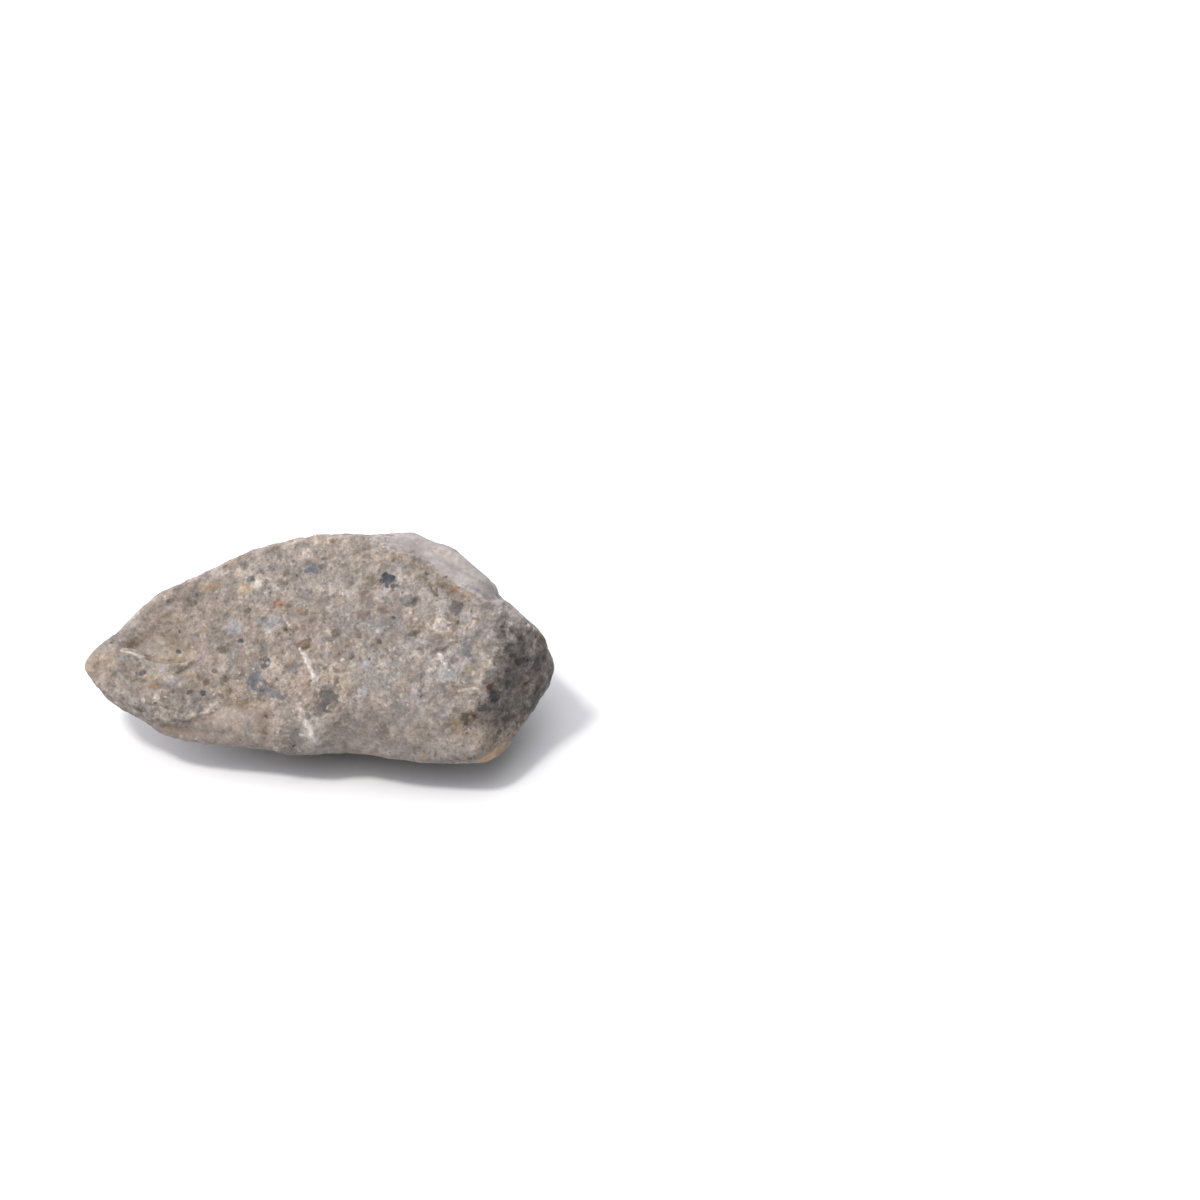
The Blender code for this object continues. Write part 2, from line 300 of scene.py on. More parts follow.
# Angular fragments: pixel in the photograph, length and width in millimetres, turn in degrees, colour, strength, and
# how far the fragment stands out of the skin in millimetres.
CLASTS = {
    "big clast": (326, 698, 0.86, 0.72, 25, "grey", 1.0, -0.02),
    "dark half of the big clast": (329, 701, 0.66, 0.58, 20, "dark grey", 1.0, -0.01),
    "dark rim of the big clast": (334, 706, 0.36, 0.22, -20, "dark olive", 0.5, 0.0),
    "rusty edge of the big clast": (340, 709, 0.16, 0.12, 0, "brown", 0.8, 0.0),
    "smooth tan clast": (425, 592, 0.34, 0.52, 0, "pale", 0.75, 0.02),
    "dark clast under the ridge": (387, 579, 0.54, 0.32, -12, "dark slate", 1.0, -0.01),
    "dark clast, lower end": (395, 585, 0.28, 0.20, -30, "dark slate", 0.8, 0.0),
    "olive clast beside it": (370, 579, 0.36, 0.24, 0, "olive", 0.66, 0.0),
    "slate triangle": (317, 568, 0.44, 0.30, 20, "slate", 1.0, 0.01),
    "dark corner of the slate triangle": (322, 566, 0.26, 0.20, 40, "dark slate", 0.55, 0.0),
    "grey clast": (409, 601, 0.44, 0.28, -25, "grey", 1.00, 0.01),
    "dark grey clast": (455, 607, 0.50, 0.32, -25, "purple grey", 0.90, 0.01),
    "rust clast": (279, 603, 0.34, 0.20, -10, "rust", 0.85, 0.0),
    "rust clast, right end": (288, 606, 0.20, 0.14, 0, "brown", 0.9, 0.0),
    "brown clast": (304, 643, 0.34, 0.26, 0, "brown", 0.90, -0.02),
    "olive clast in the middle": (334, 633, 0.20, 0.18, 0, "olive", 0.84, 0.0),
    "grey clast in the lower front": (292, 728, 0.52, 0.38, 10, "grey", 0.3, 0.0),
    "dark patch in the lower front": (373, 718, 0.40, 0.30, 0, "grey", 0.72, 0.0),
    "light blue clast": (235, 627, 0.48, 0.50, 0, "light blue", 0.65, 0.01),
    "second light blue clast": (273, 622, 0.50, 0.44, 0, "light blue", 0.5, 0.0),
    "blue-grey clast": (260, 684, 0.58, 0.52, 30, "slate", 1.0, 0.01),
    "dark side of the blue-grey clast": (265, 687, 0.34, 0.30, -30, "dark slate", 0.6, 0.0),
    "tail of the blue-grey clast": (274, 693, 0.42, 0.20, -30, "slate", 0.9, 0.0),
    "small blue-grey clast": (265, 664, 0.22, 0.30, 0, "dark slate", 0.75, 0.01),
    "blue ring": (294, 669, 0.24, 0.24, 0, "slate", 0.66, 0.0),
    "pale blue clast": (366, 665, 0.34, 0.30, 0, "light blue", 0.72, 0.0),
    "pale blue clast below it": (360, 692, 0.34, 0.28, 0, "light blue", 0.60, 0.0),
    "blue-purple clast": (466, 651, 0.36, 0.32, -20, "slate", 0.90, 0.0),
    "light blue clast on the right": (451, 676, 0.34, 0.30, 0, "light blue", 0.60, 0.01),
    "pink-brown clast": (364, 614, 0.32, 0.26, 0, "pink brown", 1.00, 0.01),
    "brown-grey clast": (363, 596, 0.28, 0.22, 0, "pink brown", 1.00, 0.0),
    "brown-grey clast beside it": (374, 603, 0.20, 0.16, -40, "pink brown", 1.00, 0.0),
    "second brown-grey clast": (381, 611, 0.28, 0.20, 10, "pink brown", 0.96, 0.0),
    "round dark clast": (413, 633, 0.24, 0.22, 0, "olive", 0.96, 0.0),
    "warm grey clast": (350, 580, 0.32, 0.26, 0, "grey", 0.60, 0.0),
    "pale clast in the dark end": (506, 641, 0.40, 0.18, 60, "pale", 0.84, 0.01),
    "pale clast above it": (491, 622, 0.32, 0.28, 0, "pale", 0.96, 0.01),
    "pink-white clast": (490, 665, 0.32, 0.30, 0, "cream", 0.90, 0.02),
    "clast beside it": (483, 657, 0.22, 0.20, 0, "pale", 0.72, 0.0),
    "dark green spot": (521, 661, 0.40, 0.26, 0, "dark olive", 0.96, 0.0),
    "dark spot beside it": (512, 655, 0.30, 0.20, 0, "dark slate", 0.72, 0.0),
    "dark spot in the end": (509, 685, 0.30, 0.24, 0, "dark slate", 0.84, 0.0),
    "blue-black clast": (495, 697, 0.50, 0.36, 0, "dark slate", 0.84, 0.0),
    "dark red clast": (489, 686, 0.24, 0.20, 0, "dark red", 0.84, 0.0),
    "brown clast at the right edge": (538, 690, 0.50, 0.16, 60, "brown", 0.72, 0.0),
    "olive pit": (467, 721, 0.46, 0.50, 10, "olive", 0.85, 0.0),
    "dark heart of the pit": (466, 724, 0.22, 0.20, 0, "dark olive", 0.7, -0.02),
    "brown wall of the pit": (471, 714, 0.24, 0.22, 0, "brown", 0.96, -0.03),
    "orange rim of the pit": (457, 722, 0.24, 0.50, 10, "tan", 0.8, 0.01),
    "pink rim of the pit": (468, 736, 0.30, 0.14, 0, "tan brown", 0.5, 0.01),
    "blue-grey clast beside the pit": (483, 710, 0.34, 0.26, 0, "dark slate", 0.72, 0.0),
    "grey pebble on the bevel": (192, 705, 0.36, 0.30, 0, "grey", 0.60, 0.015),
    "purple clast on the bevel": (181, 709, 0.24, 0.16, 0, "purple grey", 0.48, 0.0),
    "blue patch by the crack": (177, 681, 0.40, 0.26, 0, "light blue", 0.40, 0.0),
    "tan clast, upper left": (244, 591, 0.36, 0.30, 0, "tan", 0.90, 0.0),
    "olive clast by the vein": (324, 668, 0.24, 0.20, 0, "olive", 0.84, 0.0),
    "cream clast by the vein": (286, 677, 0.26, 0.20, 0, "cream", 0.72, 0.0),
    "ring of the ringed clast": (443, 627, 0.62, 0.60, 0, "tan brown", 0.55, 0.0),
    "ringed clast": (443, 627, 0.46, 0.44, 0, "cream", 0.9, 0.015),
    "heart of the ringed clast": (444, 627, 0.20, 0.20, 0, "pale", 0.9, 0.0),
    "light spot in the dark end": (532, 664, 0.30, 0.14, 70, "pale", 0.8, 0.0),
    "light spot in the dark end, lower": (523, 682, 0.26, 0.20, 0, "tan brown", 0.8, 0.0),
    "light spot in the dark end, middle": (516, 700, 0.22, 0.18, 0, "pale", 0.6, 0.0),
    "light spot over the corner": (500, 738, 0.30, 0.20, 0, "pale", 0.6, 0.0),
    "dark spot at the foot of the end": (506, 722, 0.30, 0.24, 0, "dark olive", 0.5, 0.0),
    "dark spot at the outer edge": (536, 700, 0.30, 0.40, -30, "black", 0.5, 0.0),
    "dark spot under the shoulder strip": (518, 634, 0.44, 0.20, -40, "dark olive", 0.6, 0.0),
    "honey corner": (490, 758, 0.85, 0.40, 28, "honey", 0.95, 0.0),
    "honey corner, upper end": (503, 750, 0.40, 0.26, 50, "honey", 0.8, 0.0),
}

# Dots: pixel in the photograph, diameter in millimetres, colour.
DOTS = {
    "dark pair in the scoop, left": (165, 650, 0.13, "slate"),
    "dark pair in the scoop, right": (177, 650, 0.13, "dark olive"),
    "tip, dark pair, left": (137, 673, 0.12, "olive"),
    "tip, dark pair, right": (142, 674, 0.15, "dark slate"),
    "tip, orange": (153, 685, 0.17, "orange"),
    "tip, cream": (157, 697, 0.17, "cream"),
    "tip, pale": (143, 700, 0.13, "pale"),
    "upper left, olive": (171, 601, 0.15, "olive"),
    "upper left, grey": (193, 602, 0.18, "olive"),
    "upper left, red-brown": (209, 585, 0.13, "rust"),
    "upper left, orange": (216, 586, 0.13, "orange"),
    "upper left, yellow": (203, 630, 0.15, "tan"),
    "left of the middle, dark row 1": (214, 671, 0.13, "olive"),
    "left of the middle, dark row 2": (224, 678, 0.12, "olive"),
    "left of the middle, dark row 3": (206, 683, 0.15, "brown"),
    "left of the middle, dark row 4": (190, 692, 0.13, "dark olive"),
    "left of the middle, dark row 5": (202, 693, 0.15, "dark slate"),
    "left of the middle, dark row 6": (173, 692, 0.13, "olive"),
    "left of the middle, dark row 7": (167, 687, 0.10, "slate"),
    "left of the middle, dark row 8": (198, 678, 0.13, "olive"),
    "above the bevel, brown 1": (222, 697, 0.13, "brown"),
    "above the bevel, brown 2": (230, 692, 0.15, "brown"),
    "above the bevel, brown 3": (245, 702, 0.12, "brown"),
    "beside the light blue clast, dark": (241, 640, 0.15, "dark slate"),
    "beside the light blue clast, glint": (246, 642, 0.08, "white"),
    "beside the light blue clast, grey": (223, 649, 0.24, "olive"),
    "round olive": (248, 610, 0.18, "olive"),
    "upper, olive 1": (261, 570, 0.13, "slate"),
    "upper, olive 2": (286, 572, 0.17, "olive"),
    "upper, olive 3": (287, 582, 0.15, "olive"),
    "upper, brown": (295, 547, 0.13, "brown"),
    "upper, red": (332, 541, 0.13, "rust"),
    "upper, grey-blue": (241, 564, 0.13, "slate"),
    "middle, orange": (302, 610, 0.13, "orange"),
    "middle, orange ring": (315, 647, 0.12, "orange"),
    "middle, orange-red": (329, 641, 0.10, "rust"),
    "tan stain, brown 1": (336, 680, 0.13, "brown"),
    "tan stain, brown 2": (339, 689, 0.13, "olive"),
    "beside the blue-grey clast, rust": (274, 687, 0.13, "rust"),
    "core of the blue-grey clast": (261, 684, 0.10, "pale"),
    "core of the small blue-grey clast": (267, 663, 0.08, "pale"),
    "black point, middle": (394, 617, 0.08, "black"),
    "black point, right": (458, 623, 0.08, "black"),
    "right, red": (454, 590, 0.16, "rust"),
    "right, orange 1": (464, 628, 0.12, "honey"),
    "right, orange 2": (474, 622, 0.10, "honey"),
    "dark group 1": (379, 641, 0.12, "dark olive"),
    "dark group 2": (372, 645, 0.10, "olive"),
    "dark group 3": (384, 649, 0.16, "olive"),
    "dark group 4": (381, 657, 0.13, "olive"),
    "dark group 5": (369, 658, 0.12, "dark slate"),
    "dark group 6": (351, 656, 0.14, "purple grey"),
    "dark group, rust": (359, 637, 0.13, "rust"),
    "dark group, cream": (359, 644, 0.15, "cream"),
    "lower front, glint": (301, 735, 0.08, "white"),
    "lower front, orange": (411, 690, 0.08, "orange"),
    "lower edge, orange": (425, 756, 0.15, "orange"),
    "lower edge, dark": (435, 756, 0.13, "olive"),
    "lower edge, pale": (447, 732, 0.18, "pale"),
    "dark end, black point": (510, 734, 0.13, "black"),
    "brown over the bevel": (266, 717, 0.13, "brown"),
    "brown over the bevel, lower": (265, 734, 0.15, "brown"),
    "yellow, right": (468, 669, 0.15, "tan"),
}

# Lines along the skin: pixels of the photograph, width in millimetres, colour, strength, and how far the line stands
# out of the skin in millimetres, less than nothing for a crack.
LINES = {
    # A white vein, with a painted highlight along its crest.
    "vein in the middle": (((300, 649), (307, 658), (311, 668), (315, 677), (318, 691)), 0.12, "white", 0.95, 0.03),
    "vein in the lower front": (((305, 718), (313, 733), (322, 748)), 0.16, "white", 0.9, 0.02),
    "glint on the right": (((439, 653), (443, 661), (448, 670)), 0.11, "white", 1.0, 0.02),
    # The lip's white line is a painted highlight along it.
    "lip of the scoop": (((119, 650), (127, 649), (135, 652), (146, 658)), 0.14, "white", 0.9, 0.03),
    "ridge beside the scoop": (((140, 658), (152, 663), (166, 665), (182, 664), (200, 658)), 0.12, "cream", 0.45, 0.02),
    "cream streak in the scoop": (((153, 630), (158, 637), (163, 644)), 0.20, "cream", 0.95, 0.0),
    "crack from the tip": (((204, 655), (194, 662), (184, 669), (172, 675)), 0.05, "purple grey", 0.9, -0.015),
    "blue line, upper left": (((268, 571), (280, 568), (292, 567), (302, 566)), 0.05, "slate", 0.7, -0.01),
    "crack on the right": (((430, 587), (436, 594), (442, 601)), 0.06, "dark slate", 0.8, -0.03),
    "ledge": (((436, 650), (443, 650), (450, 649)), 0.05, "olive", 0.7, -0.03),
    "upper ledge": (((450, 639), (459, 637), (469, 638)), 0.05, "olive", 0.7, -0.03),
    "arc over the pit": (((455, 697), (463, 691), (475, 690), (484, 694), (490, 702)), 0.15, "cream", 0.9, 0.02),
    "white streak in the middle": (((282, 615), (286, 621), (289, 626)), 0.06, "white", 0.8, 0.01),
    "streak in the dark end": (((538, 668), (538, 678)), 0.06, "pale", 0.6, 0.01),
    "tan streak, upper left": (((196, 590), (204, 587), (212, 585)), 0.20, "tan", 0.7, 0.0),
    "rim of the bevel": (((160, 735), (177, 741), (195, 745), (215, 747)), 0.10, "pale", 0.7, 0.0),
    "brown line under the bevel": (((247, 741), (255, 744), (262, 746)), 0.05, "brown", 0.6, -0.01),
    "cream lip over the bevel": (((186, 720), (200, 716), (214, 711)), 0.16, "cream", 0.75, 0.02),
    "dark streak on the ridge": (((465, 585), (478, 590), (491, 600)), 0.10, "slate", 0.7, -0.01),
    "dark line in the lower front": (((356, 727), (366, 727)), 0.05, "olive", 0.6, -0.01),
    "streak over the bevel": (((148, 704), (165, 707), (182, 712)), 0.07, "purple grey", 0.6, -0.01),
    "second streak over the bevel": (((196, 722), (212, 718), (226, 712)), 0.06, "tan brown", 0.6, -0.01),
    "brown streak, left": (((118, 664), (132, 668), (146, 672)), 0.06, "brown", 0.5, 0.0),
    "dark streak over the big clast": (((306, 690), (313, 694), (318, 700)), 0.06, "olive", 0.6, 0.0),
    "ridge highlight": (((389, 551), (405, 553), (421, 558), (433, 569), (442, 577)), 0.10, "pale", 0.5, 0.0),
    "lower ridge highlight": (((481, 600), (500, 606), (520, 621), (537, 636)), 0.10, "pale", 0.45, 0.0),
    "bright edge on the shoulder": (((430, 546), (450, 555), (466, 566)), 0.12, "cream", 0.4, 0.0),
    "dark line on the shoulder": (((462, 570), (480, 580), (494, 590)), 0.14, "grey", 0.4, 0.0),
    "orange line over the ridge": (((381, 555), (392, 556), (404, 558)), 0.06, "orange", 0.5, 0.0),
    "brown line at the left edge of the cool part": (((297, 660), (306, 680), (312, 696)), 0.12, "tan brown", 0.35, 0.0),
}


# Small fragments scattered over every side: how often each colour comes.
SCATTER_COLOURS = {
    "grey": 5,
    "pink brown": 4,
    "olive": 4,
    "slate": 3,
    "light blue": 3,
    "cream": 4,
    "pale": 5,
    "tan": 3,
    "brown": 2,
    "purple grey": 2,
    "rust": 1,
    "dark slate": 1,
    "dark olive": 1,
}
SCATTER_COUNT = 2000
SCATTER_SIZES = (0.09, 0.85)
SEED = 7

# Rims of the fragments, dots and lines: how soft their colour is, how wide their step is, and the groove round them,
# all in millimetres.
RIM_SOFTNESS = {"clast": 0.045, "dot": 0.035, "line": 0.035}
OVERLAP = 0.8
RIM_STEP = 0.08
GROOVE_DEPTH = 0.006
GROOVE_WIDTH = 0.04

# Two random fields over the skin that make outlines ragged: how long their waves are, and how far they shift an
# outline, in millimetres. A small mark is shifted by no more than WOBBLE_SHARE of its width.
WOBBLES = {"wide": (0.45, 0.045), "fine": (0.16, 0.030)}
WOBBLE_SHARE = 0.22


class Graph:
    """Adds nodes to a node tree and links them, so that a tree reads as a list of steps."""

    def __init__(self, tree):
        self.tree = tree

    def add(self, kind, inputs=None, **settings):
        """A new node with its settings and inputs. An input is a value or another node's output."""
        node = self.tree.nodes.new(kind)
        for name, value in settings.items():
            setattr(node, name, value)
        for key, value in (inputs or {}).items():
            self.feed(node.inputs[key], value)
        return node

    def feed(self, socket, value):
        if isinstance(value, bpy.types.NodeSocket):
            self.tree.links.new(value, socket)
        else:
            socket.default_value = value

    def math(self, operation, *values, clamp=False):
        return self.add("ShaderNodeMath", dict(enumerate(values)), operation=operation, use_clamp=clamp).outputs[0]

    def product(self, first, *others):
        """All the values multiplied together."""
        for other in others:
            first = self.math("MULTIPLY", first, other)
        return first

    def scaled(self, vector, amount):
        """A vector or colour times a number."""
        return self.add("ShaderNodeVectorMath", {0: vector, "Scale": amount}, operation="SCALE").outputs[0]

    def noise(self, place, per_mm, detail=3.0, rough=0.5, turn=0.0):
        """Noise between 0 and 1, with per_mm waves to a millimetre. turn picks another pattern of the same kind."""
        inputs = {"Vector": place, "W": turn, "Scale": per_mm, "Detail": detail, "Roughness": rough}
        return self.add("ShaderNodeTexNoise", inputs, noise_dimensions="4D").outputs["Fac"]

    def step(self, value, low, high):
        """0 at low, 1 at high, with a smooth change between."""
        inputs = {"Value": value, "From Min": low, "From Max": high}
        return self.add("ShaderNodeMapRange", inputs, interpolation_type="SMOOTHSTEP").outputs["Result"]

    def span(self, value, low, high, to_low, to_high):
        """Moves the range low to high onto to_low to to_high in a straight line, held at both ends."""
        inputs = {"Value": value, "From Min": low, "From Max": high, "To Min": to_low, "To Max": to_high}
        return self.add("ShaderNodeMapRange", inputs).outputs["Result"]

    def blend(self, amount, under, over, kind="MIX"):
        """One colour over another."""
        inputs = {0: amount, 6: under, 7: over}
        return self.add("ShaderNodeMix", inputs, data_type="RGBA", blend_type=kind).outputs[2]

    def attribute(self, name):
        """A value stored on the skin."""
        return self.add("ShaderNodeAttribute", attribute_name=name).outputs


def opaque(name):
    """A stone colour by its name, with full alpha."""
    return (*COLOURS[name], 1.0)


def fade(value):
    """Smooth change from 0 to 1 while the value goes from 0 to 1."""
    value = np.clip(value, 0.0, 1.0)
    return value * value * (3.0 - 2.0 * value)


def camera_turn():
    """The camera's turn as angles in radians."""
    return Euler([math.radians(angle) for angle in CAMERA_TURN])


def camera():
    """The camera at the photograph's viewing angle."""
    data = bpy.data.cameras.new("camera")
    data.lens = LENS_LENGTH
    data.sensor_width = SENSOR_WIDTH
    data.clip_start = 10 * MM
    data.clip_end = 10.0
    seat = bpy.data.objects.new("camera", data)
    seat.location = Vector(CAMERA_PLACE) * MM
    seat.rotation_euler = camera_turn()
    bpy.context.scene.collection.objects.link(seat)
    bpy.context.scene.camera = seat


def sight_line(x, y):
    """Direction from the camera through a pixel of the photograph."""
    focus = LENS_LENGTH / SENSOR_WIDTH * PHOTO_SIDE
    middle = PHOTO_SIDE / 2
    ray = Vector(((x - middle) / focus, -(y - middle) / focus, -1.0))
    ray.rotate(camera_turn())
    return ray.normalized()


def pixels_of(places):
    """Where points of the stone stand in the photograph, in pixels."""
    focus = LENS_LENGTH / SENSOR_WIDTH * PHOTO_SIDE
    seen = (places - np.array(CAMERA_PLACE)) @ np.array(camera_turn().to_matrix())
    across = PHOTO_SIDE / 2 - focus * seen[:, 0] / seen[:, 2]
    down = PHOTO_SIDE / 2 + focus * seen[:, 1] / seen[:, 2]
    return np.stack((across, down), axis=1)


def new_object(name, mesh):
    """An object with this mesh, in the scene."""
    thing = bpy.data.objects.new(name, mesh)
    bpy.context.scene.collection.objects.link(thing)
    return thing


def settled_mesh(thing):
    """The object's mesh with its modifiers worked in. The object itself is removed."""
    graph = bpy.context.evaluated_depsgraph_get()
    mesh = bpy.data.meshes.new_from_object(thing.evaluated_get(graph))
    bpy.data.objects.remove(thing)
    return mesh


def fine_skin():
    """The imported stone's shape as one closed, even, smooth mesh, in millimetres."""
    bm = bmesh.new()
    bm.from_mesh(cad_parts[NODE].data)
    bmesh.ops.remove_doubles(bm, verts=bm.verts[:], dist=1e-7)
    bmesh.ops.scale(bm, vec=Vector((1, 1, 1)) / MM, verts=bm.verts[:])
    mesh = bpy.data.meshes.new("fine_skin")
    bm.to_mesh(mesh)
    bm.free()
    thing = new_object("fine_skin", mesh)
    remesh = thing.modifiers.new("remesh", "REMESH")
    remesh.mode = "VOXEL"
    remesh.voxel_size = SKIN_STEP
    smooth = thing.modifiers.new("smooth", "SMOOTH")
    smooth.iterations = SMOOTHING_ROUNDS
    return settled_mesh(thing)


class Spot:
    """A place on the skin, with the skin's directions there."""

    def __init__(self, place, normal, turn=0.0):
        self.place = np.array(place)
        normal = Vector(normal).normalized()
        side = Vector((1, 0, 0)) if abs(normal.x) < 0.95 else Vector((0, 1, 0))
        right = (side - normal * side.dot(normal)).normalized()
        up = normal.cross(right)
        turn = math.radians(turn)
        self.along = np.array(right * math.cos(turn) + up * math.sin(turn))
        self.across = np.array(up * math.cos(turn) - right * math.sin(turn))
        self.out = np.array(normal)


class Skin:
    """The fine skin while its marks are laid. Each layer keeps, for every point, how far it is from the nearest mark's
    rim in widths of the soft rim, less than nothing inside, and that mark's colour and strength."""

    def __init__(self, mesh):
        self.mesh = mesh
        count = len(mesh.vertices)
        self.places = self.read("vertices", "co")
        self.normals = self.read("vertices", "normal")
        faces = [tuple(face.vertices) for face in mesh.polygons]
        self.tree = BVHTree.FromPolygons([Vector(place) for place in self.places], faces)
        self.pixels = pixels_of(self.places)
        towards = np.array(CAMERA_PLACE) - self.places
        towards /= np.linalg.norm(towards, axis=1)[:, None]
        self.facing = (self.normals * towards).sum(axis=1)
        self.dice = np.random.RandomState(SEED)
        self.wobbles = [self.waves(length) * shift for length, shift in WOBBLES.values()]
        self.rise = np.zeros(count, np.float32)
        self.tone = np.ones(count, np.float32)
        self.calm = np.zeros(count, np.float32)
        self.wash = np.zeros((count, 4), np.float32)
        self.edges = {layer: np.full(count, 4.0, np.float32) for layer in RIM_SOFTNESS}
        self.colours = {layer: np.zeros((count, 4), np.float32) for layer in RIM_SOFTNESS}

    def read(self, items, what):
        values = np.empty(len(getattr(self.mesh, items)) * 3, np.float32)
        getattr(self.mesh, items).foreach_get(what, values)
        return values.reshape(-1, 3)

    def waves(self, length, count=40):
        """A smooth random field over the skin with waves of about this length, and a spread of 1."""
        field = np.zeros(len(self.places))
        for _ in range(count):
            way = self.dice.normal(size=3)
            way *= 2 * math.pi / (length * self.dice.uniform(0.7, 1.6) * np.linalg.norm(way))
            field += np.cos(self.places @ way + self.dice.uniform(0, 2 * math.pi))
        return field / math.sqrt(count / 2)

    def seen(self, x, y, turn=0.0):
        """The spot of the stone that the photograph shows at a pixel. At the outline it is the nearest one."""
        ray = sight_line(x, y)
        place, normal, _, _ = self.tree.ray_cast(Vector(CAMERA_PLACE), ray)
        if place is None:
            far = (Vector(CAMERA_PLACE) - Vector((0, 0, 2))).length
            place, normal, _, _ = self.tree.find_nearest(Vector(CAMERA_PLACE) + ray * far)
        return Spot(place, normal, turn)

    def near(self, spot, reach):
        """The points within reach of a spot, and where they lie: along, across and out of the skin."""
        near = np.flatnonzero(np.abs(self.places - spot.place).max(axis=1) < reach)
        away = self.places[near] - spot.place
        return near, away @ spot.along, away @ spot.across, away @ spot.out

    def in_view(self, pixels, reach):
        """The points that the camera sees within reach of these pixels. It looks a little past the outline."""
        low = pixels.min(axis=0) - reach * PIXELS_PER_MM
        high = pixels.max(axis=0) + reach * PIXELS_PER_MM
        inside = ((self.pixels > low) & (self.pixels < high)).all(axis=1)
        return np.flatnonzero(inside & (self.facing > -0.25))

    def path(self, pixels, reach):
        """The points near a row of pixels. For each: how far it is from the row in millimetres, less than nothing
        below the row, and where along the row it is, from 0 to 1."""
        stops = np.array(pixels, float)
        near = self.in_view(stops, reach)
        runs = np.diff(stops, axis=0)
        lengths = np.linalg.norm(runs, axis=1)
        before = np.concatenate(([0.0], np.cumsum(lengths)))
        best = np.full(len(near), np.inf)
        side = np.ones(len(near))
        where = np.zeros(len(near))
        for start, run, length, done in zip(stops, runs, lengths, before):
            away = self.pixels[near] - start
            share = np.clip(away @ run / length**2, 0, 1)
            distance = np.linalg.norm(away - share[:, None] * run, axis=1)
            closer = distance < best
            best = np.where(closer, distance, best)
            above = run[1] * away[:, 0] - run[0] * away[:, 1] > 0
            side = np.where(closer, np.where(above, 1.0, -1.0), side)
            where = np.where(closer, (done + share * length) / before[-1], where)
        return near, best / PIXELS_PER_MM * side, where

    def area(self, pixels, soft):
        """The points in an outline of pixels and how much of each is covered, with a soft ragged rim."""
        stops = np.array(pixels, float)
        near, distance, _ = self.path([*pixels, pixels[0]], soft)
        points = self.pixels[near]
        inside = np.zeros(len(near), bool)
        for start, end in zip(stops, np.roll(stops, -1, axis=0)):
            spans = (start[1] > points[:, 1]) != (end[1] > points[:, 1])
            rise = end[1] - start[1] if end[1] != start[1] else 1.0
            crossing = start[0] + (points[:, 1] - start[1]) * (end[0] - start[0]) / rise
            inside ^= spans & (points[:, 0] < crossing)
        edge = np.where(inside, -np.abs(distance), np.abs(distance))
        edge += (self.wobbles[0][near] + self.wobbles[1][near]) * min(1.0, soft / 0.15)
        return near, fade(0.5 - edge / soft) * fade((self.facing[near] + 0.25) / 0.2)

    def dye(self, near, cover, colour):
        """Lay a stain, painted shade and painted sheen included, over the ones before it."""
        cover = cover[:, None]
        self.wash[near] = self.wash[near] * (1 - cover) + np.array(opaque(colour)) * cover

    def oval(self, spot, length, width, soft):
        """The points round a spot and how much of each is covered by a soft oval."""
        near, along, across, out = self.near(spot, max(length, width) / 2 + soft)
        round_out = np.sqrt((2 * along / length) ** 2 + (2 * across / width) ** 2 + (2 * out / max(length, width)) ** 2)
        edge = (round_out - 1) * min(length, width) / 2 + self.wobbles[0][near] * min(1.0, soft / 0.15)
        return near, fade(0.5 - edge / soft)

    def dent(self, spot, length, width, depth):
        """A smooth hollow with sloping sides."""
        near, along, across, out = self.near(spot, max(length, width))
        deep = np.exp(-((2 * along / length) ** 2) - (2 * across / width) ** 2 - (out / max(length, width)) ** 2)
        self.rise[near] -= depth * deep

    def fold(self, pixels, rise, rise_width, sink, sink_width):
        """A sharp fold of the skin, higher above the row of pixels and lower below it, that dies out at its ends."""
        near, distance, where = self.path(pixels, 2.5 * max(rise_width, sink_width))
        distance = distance + self.wobbles[1][near] * 0.6
        shape = np.where(
            distance > 0, rise * np.exp(-((distance / rise_width) ** 2)), -sink * np.exp(-((distance / sink_width) ** 2))
        )
        step = fade(0.5 + distance / 0.10)
        middle = rise * step - sink * (1 - step)
        shape = np.where(np.abs(distance) < 0.05, middle, shape)
        self.rise[near] += shape * fade(np.minimum(where, 1 - where) / 0.15) * fade(self.facing[near] / 0.2)

    def mark(self, layer, near, edge, colour, strength, rise, width, over=True):
        """A mark with a ragged rim. edge is the distance outside its rim in millimetres. A mark that isn't laid over
        the ones before it shows only where it is the nearest."""
        limit = WOBBLE_SHARE * width
        shift = self.wobbles[0][near] + self.wobbles[1][near]
        edge = edge + limit * np.tanh(shift / limit)
        self.rise[near] += rise * fade(0.5 - edge / RIM_STEP)
        self.rise[near] -= GROOVE_DEPTH * strength * np.exp(-((edge / GROOVE_WIDTH) ** 2))
        rims = edge / RIM_SOFTNESS[layer]
        closer = rims < self.edges[layer][near]
        if over:
            closer |= rims < OVERLAP
        self.edges[layer][near[closer]] = rims[closer]
        strength = np.broadcast_to(strength, edge.shape)
        paint = np.column_stack((np.tile(COLOURS[colour], (len(edge), 1)), strength))
        self.colours[layer][near[closer]] = paint[closer]

    def fragment(self, spot, length, width, colour, strength, rise, over=True):
        """An angular fragment: a rounded polygon with corners of its own."""
        near, along, across, _ = self.near(spot, max(length, width) * 0.7 + 0.15)
        corners = self.dice.randint(5, 8)
        turns = (np.arange(corners) + self.dice.uniform(-0.3, 0.3, corners)) * 2 * math.pi / corners
        reach = self.dice.uniform(0.72, 1.12, corners)
        sides = np.stack((np.cos(turns), np.sin(turns))) / reach
        flat = np.stack((2 * along / length, 2 * across / width), axis=1)
        outline = (np.maximum(flat @ sides, 0.0) ** 7).sum(axis=1) ** (1 / 7)
        smaller = min(length, width)
        self.mark("clast", near, (outline - 1) * smaller / 2, colour, strength, rise, smaller, over)

